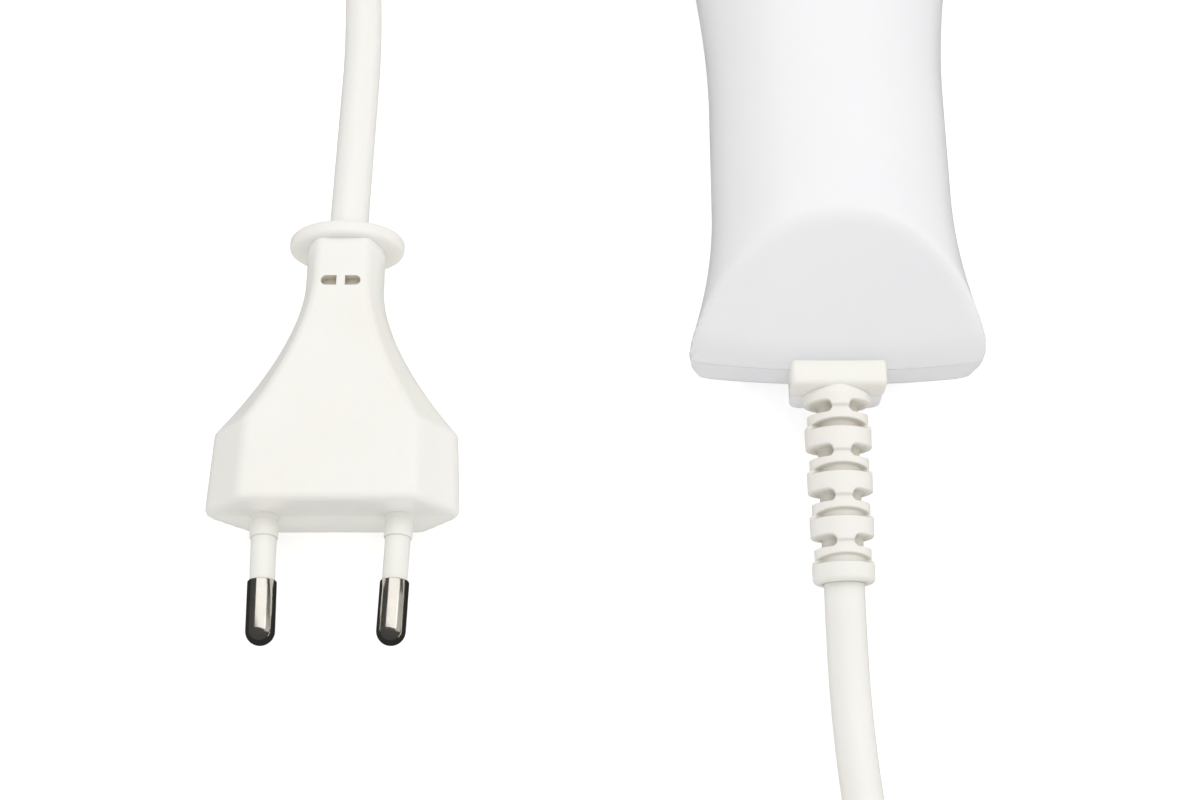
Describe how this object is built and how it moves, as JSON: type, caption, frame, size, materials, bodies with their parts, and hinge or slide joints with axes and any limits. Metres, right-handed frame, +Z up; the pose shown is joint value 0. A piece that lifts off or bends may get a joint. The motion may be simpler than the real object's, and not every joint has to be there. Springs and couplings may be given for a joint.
{
  "type": "ipl hair remover",
  "caption": "Corded handheld light-pulse hair remover with a flared tail, slotted strain relief, removable window attachment and a flat two-pin mains plug.",
  "frame": {"origin": "on the supporting surface under the middle of the handset, the cord and its pieces left out", "axes": "+Z up, +Y from the cord end of the handset to its lamp window, +X to the right seen from above with the window away"},
  "size_m": [0.1874, 0.3116, 0.04],
  "materials": {
    "casing": "satin",
    "casing_lower": "satin",
    "bezel": "matte",
    "button": "gloss",
    "button_small": "satin",
    "light_pipe": "frosted",
    "board": "satin",
    "switch": "matte",
    "led": "gloss",
    "terminal": "matte",
    "fuse": "clear",
    "ferrite": "matte",
    "copper": "enamelled",
    "fan": "satin",
    "steel": "brushed",
    "aluminium": "satin",
    "lamp_frame": "matte",
    "mirror": "polished",
    "lamp_glass": "clear",
    "filter_glass": "amber",
    "magnet": "plated",
    "attachment": "satin",
    "attachment_inner": "matte",
    "lens": "dark",
    "cord": "satin",
    "strain_relief": "satin",
    "tie": "satin",
    "plug": "satin",
    "grille": "matte",
    "capacitor": "sleeved",
    "contact": "satin",
    "pin_sleeve": "satin",
    "nickel": "polished",
    "screw": "zinc plated"
  },
  "bodies": {
    "handset": {"upper_shell": "casing", "lower_shell": "casing_lower", "shell_screws": "screw", "head_bezel": "bezel", "level_light_pipes": "light_pipe", "control_board": "board", "pulse_switch": "switch", "level_switch": "switch", "level_leds": "led", "power_board": "board", "terminal_block": "terminal", "fuse": "fuse", "filter_choke": "ferrite", "transformer_core": "ferrite", "transformer_winding": "copper", "fan_housing": "fan", "fan_shaft": "steel", "heat_sink": "aluminium", "lamp_housing": "lamp_frame", "reflector": "mirror", "flash_lamp": "lamp_glass", "lamp_electrodes": "steel", "filter_glass": "filter_glass", "bezel_magnets": "magnet", "cord_clamp": "lamp_frame", "clamp_screws": "screw", "cord_inner_end": "cord", "strain_relief": "strain_relief", "cord_handset_run": "cord", "cord_plug_run": "cord", "cord_coil": "cord", "cord_tie": "tie", "plug_body": "plug", "vent_grille_left": "grille", "vent_grille_right": "grille", "flash_capacitor_left": "capacitor", "flash_capacitor_right": "capacitor", "pin_sleeve_left": "pin_sleeve", "pin_sleeve_right": "pin_sleeve", "plug_pin_left": "nickel", "plug_pin_right": "nickel"},
    "pulse_button": {"pulse_button": "button"},
    "level_button": {"level_button": "button_small"},
    "fan_rotor": {"fan_rotor": "fan"},
    "contact_pin_left": {"contact_pin_left": "contact"},
    "contact_pin_right": {"contact_pin_right": "contact"},
    "attachment": {"attachment_body": "attachment", "attachment_back": "attachment_inner", "attachment_magnets": "magnet", "skin_sensor_lens": "lens", "contact_switch_left": "switch", "contact_switch_right": "switch"}
  },
  "joints": [
    {"name": "pulse_button_press", "type": "slide", "parent": "handset", "child": "pulse_button", "axis": [0, 0, -1], "range_m": [0, 0.001], "stiffness_N_per_m": 1500, "springref_m": -0.0006},
    {"name": "level_button_press", "type": "slide", "parent": "handset", "child": "level_button", "axis": [0, 0, -1], "range_m": [0, 0.0008], "stiffness_N_per_m": 1500, "springref_m": -0.0006},
    {"name": "fan_spin", "type": "hinge", "parent": "handset", "child": "fan_rotor", "pos_m": [0, 0.025, 0.0188], "axis": [0, 1, 0], "continuous": true},
    {"name": "attachment_slide", "type": "slide", "parent": "handset", "child": "attachment", "axis": [0, 1, 0], "range_m": [0, 0.025]},
    {"name": "left_contact_press", "type": "slide", "parent": "attachment", "child": "contact_pin_left", "axis": [0, -1, 0], "range_m": [0, 0.0008], "stiffness_N_per_m": 800, "springref_m": -0.0006},
    {"name": "right_contact_press", "type": "slide", "parent": "attachment", "child": "contact_pin_right", "axis": [0, -1, 0], "range_m": [0, 0.0008], "stiffness_N_per_m": 800, "springref_m": -0.0006}
  ]
}
